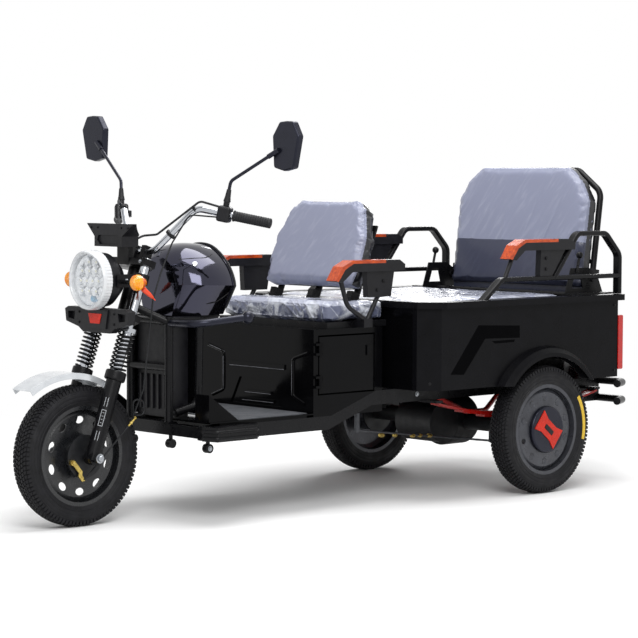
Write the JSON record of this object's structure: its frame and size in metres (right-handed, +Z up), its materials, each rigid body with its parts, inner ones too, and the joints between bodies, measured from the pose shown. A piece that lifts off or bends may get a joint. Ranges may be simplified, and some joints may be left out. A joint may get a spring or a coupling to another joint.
{
  "type": "electric cargo tricycle",
  "caption": "Three-wheeled electric utility vehicle: steered front wheel, driver bench over a battery box, and an open bed with a passenger bench over the driven rear axle.",
  "frame": {"origin": "ground point under the middle of the overall length and width", "axes": "+X forward along the vehicle, +Y to the rider's left, +Z up"},
  "size_m": [2.4836, 1.123, 1.3336],
  "materials": {
    "gloss_black": "gloss",
    "satin_black": "satin",
    "bed_paint": "satin",
    "red_paint": "gloss",
    "fender_paint": "gloss",
    "black_plastic": "matte",
    "grey_plastic": "matte",
    "white_plastic": "gloss",
    "red_plastic": "gloss",
    "orange_wood": "gloss",
    "amber_plastic": "gloss",
    "seat_cover": "satin",
    "chrome": "polished",
    "bare_steel": "satin",
    "gold_zinc": "satin",
    "cast_alloy": "satin",
    "cast_iron": "satin",
    "rim_grey": "satin",
    "rubber": "matte",
    "tyre": "matte",
    "clear_glass": "polished",
    "mirror_glass": "polished"
  },
  "bodies": {
    "chassis": {"arch_flares": "black_plastic", "armrest_strips": "orange_wood", "armrests": "black_plastic", "back_brackets": "gloss_black", "battery": "black_plastic", "bed_rails": "gloss_black", "bed_sides": "bed_paint", "bed_tub": "bed_paint", "brake_linkage": "bare_steel", "controller_box": "black_plastic", "driver_backrest": "seat_cover", "driver_cushion": "seat_cover", "floorboard": "grey_plastic", "frame": "gloss_black", "front_column": "gloss_black", "knee_guards": "gloss_black", "leaf_springs": "red_paint", "rear_axle": "cast_iron", "rear_bumper": "gloss_black", "rear_cushion": "seat_cover", "rear_deck": "satin_black", "seat_box": "gloss_black", "seat_frame": "satin_black", "tail_lamps": "red_plastic", "tank": "gloss_black"},
    "steering": {"brake_arm": "gold_zinc", "cables": "rubber", "fork_clamps": "satin_black", "fork_lowers": "gloss_black", "fork_springs": "satin_black", "fork_tubes": "chrome", "front_axle": "cast_alloy", "front_fender": "fender_paint", "front_trim": "black_plastic", "grips": "rubber", "handlebar": "chrome", "headlamp_bezel": "white_plastic", "headlamp_lens": "clear_glass", "headlamp_shell": "black_plastic", "indicators": "amber_plastic", "instrument_cowl": "black_plastic", "lamp_bracket": "satin_black", "mirror_glasses": "mirror_glass", "mirrors": "black_plastic", "switch_pods": "black_plastic", "trim_plate": "red_plastic"},
    "front_wheel": {"tyre_front": "tyre", "rim_front": "satin_black"},
    "rear_wheel_left": {"cap_plate_left": "red_plastic", "hub_cap_left": "black_plastic", "rim_rear_left": "rim_grey", "tyre_rear_left": "tyre"},
    "rear_wheel_right": {"cap_plate_right": "red_plastic", "hub_cap_right": "black_plastic", "rim_rear_right": "rim_grey", "tyre_rear_right": "tyre"},
    "tailgate": {"tailgate": "bed_paint"},
    "passenger_back": {"rear_backrest": "seat_cover", "rear_back_frame": "gloss_black"},
    "battery_door": {"box_door": "gloss_black"}
  },
  "joints": [
    {"name": "steering_turn", "type": "hinge", "parent": "chassis", "child": "steering", "pos_m": [0.82686, 0, 0.65], "axis": [-0.3338, 0, 0.9426], "range_deg": [-38, 38]},
    {"name": "front_wheel_spin", "type": "hinge", "parent": "steering", "child": "front_wheel", "pos_m": [1.01325, 0, 0.2285], "axis": [0, 1, 0], "continuous": true},
    {"name": "rear_wheel_left_spin", "type": "hinge", "parent": "chassis", "child": "rear_wheel_left", "pos_m": [-0.71675, 0.443, 0.2285], "axis": [0, 1, 0], "continuous": true},
    {"name": "rear_wheel_right_spin", "type": "hinge", "parent": "chassis", "child": "rear_wheel_right", "pos_m": [-0.71675, -0.443, 0.2285], "axis": [0, 1, 0], "continuous": true},
    {"name": "tailgate_drop", "type": "hinge", "parent": "chassis", "child": "tailgate", "pos_m": [-1.11975, 0, 0.408], "axis": [0, -1, 0], "range_deg": [0, 90]},
    {"name": "passenger_back_fold", "type": "hinge", "parent": "chassis", "child": "passenger_back", "pos_m": [-1.08475, 0, 0.748], "axis": [0, 1, 0], "range_deg": [0, 80]},
    {"name": "battery_door_swing", "type": "hinge", "parent": "chassis", "child": "battery_door", "pos_m": [0.22925, 0.308, 0.48], "axis": [0, 0, -1], "range_deg": [0, 100]}
  ]
}
